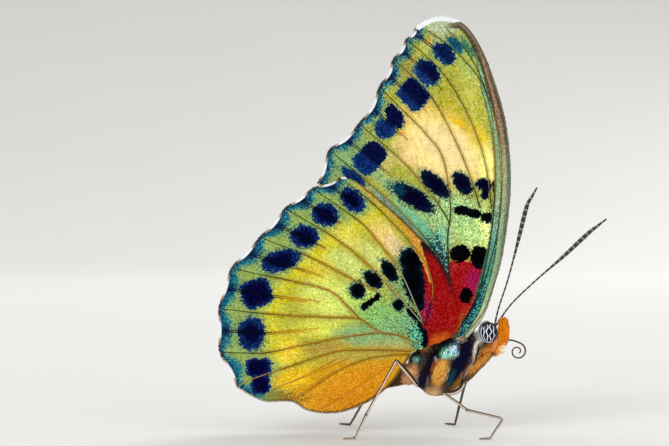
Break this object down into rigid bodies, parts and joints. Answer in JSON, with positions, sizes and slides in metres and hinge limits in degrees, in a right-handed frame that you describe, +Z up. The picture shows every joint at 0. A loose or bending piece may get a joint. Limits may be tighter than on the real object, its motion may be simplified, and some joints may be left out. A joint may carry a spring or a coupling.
{
  "type": "forester butterfly",
  "caption": "Life-size still model of a forester butterfly standing with its patterned wings closed over its back.",
  "frame": {"origin": "on the floor under the feet, at the middle of the model's length and width", "axes": "+X towards the head, +Y to the insect's left, +Z up"},
  "size_m": [0.0546, 0.0192, 0.0577],
  "materials": {
    "wing_scales": "satin scales, yellow-green with navy spots and a red base",
    "body_fur": "short fur in bands of navy, teal, tan and grey",
    "orange_fur": "short orange fur",
    "eye": "gloss black with a pale blue-white net",
    "dark_horn": "satin dark brown horn",
    "leg": "satin cream with dark edges"
  },
  "bodies": {
    "root": {"thorax": "body_fur", "head": "body_fur", "abdomen": "body_fur", "foreleg_right": "orange_fur", "foreleg_left": "orange_fur", "palp_right": "orange_fur", "palp_left": "orange_fur", "proboscis": "dark_horn", "antenna_right": "dark_horn", "antenna_left": "dark_horn", "eye_right": "eye", "eye_left": "eye", "forewing_right": "wing_scales", "forewing_left": "wing_scales", "hindwing_right": "wing_scales", "hindwing_left": "wing_scales", "mid_right_femur": "leg", "mid_right_tibia": "leg", "mid_right_tarsus": "leg", "mid_left_femur": "leg", "mid_left_tibia": "leg", "mid_left_tarsus": "leg", "hind_right_femur": "leg", "hind_right_tibia": "leg", "hind_right_tarsus": "leg", "hind_left_femur": "leg", "hind_left_tibia": "leg", "hind_left_tarsus": "leg"}
  },
  "joints": []
}
